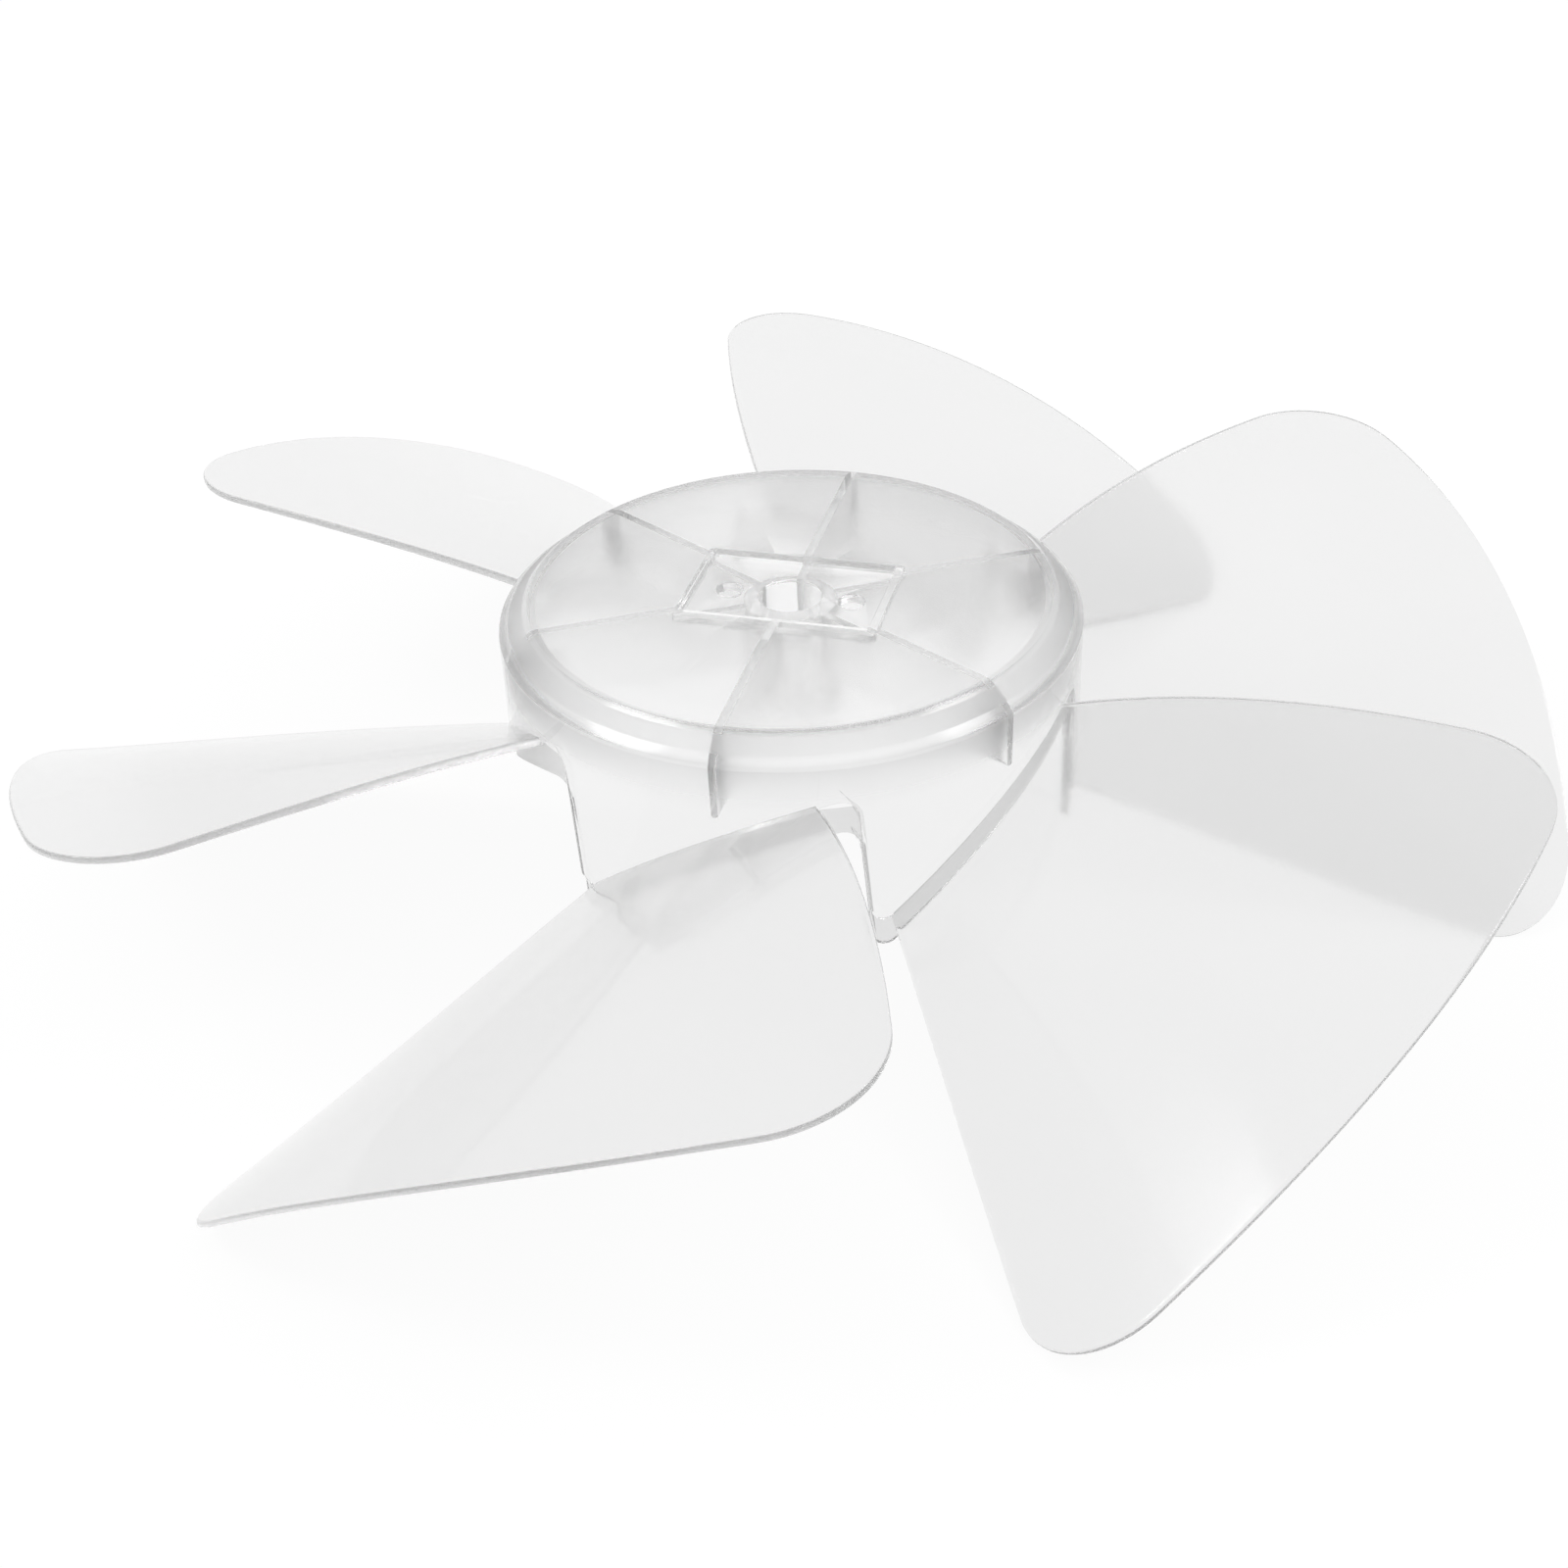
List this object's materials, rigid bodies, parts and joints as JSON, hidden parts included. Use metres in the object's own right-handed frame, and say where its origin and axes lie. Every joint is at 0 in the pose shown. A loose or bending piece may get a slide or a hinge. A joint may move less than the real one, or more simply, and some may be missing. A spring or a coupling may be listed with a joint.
{
  "type": "pedestal fan blade",
  "caption": "One-piece moulded fan impeller: cup-shaped hub with a recessed shaft bore and twisted, cambered blades on its toothed rear edge, for a pedestal fan.",
  "frame": {"origin": "on the shaft axis, on the seat that the nut bears on at the front end of the shaft bore", "axes": "+Z along the shaft axis to the front of the fan, +X along the long side of the recess in the disc, +Y across it"},
  "size_m": [0.3492, 0.343, 0.0705],
  "materials": {
    "clear_plastic": "translucent, glossy, lightly clouded"
  },
  "bodies": {
    "root": {"fan_blade": "clear_plastic"}
  },
  "joints": []
}
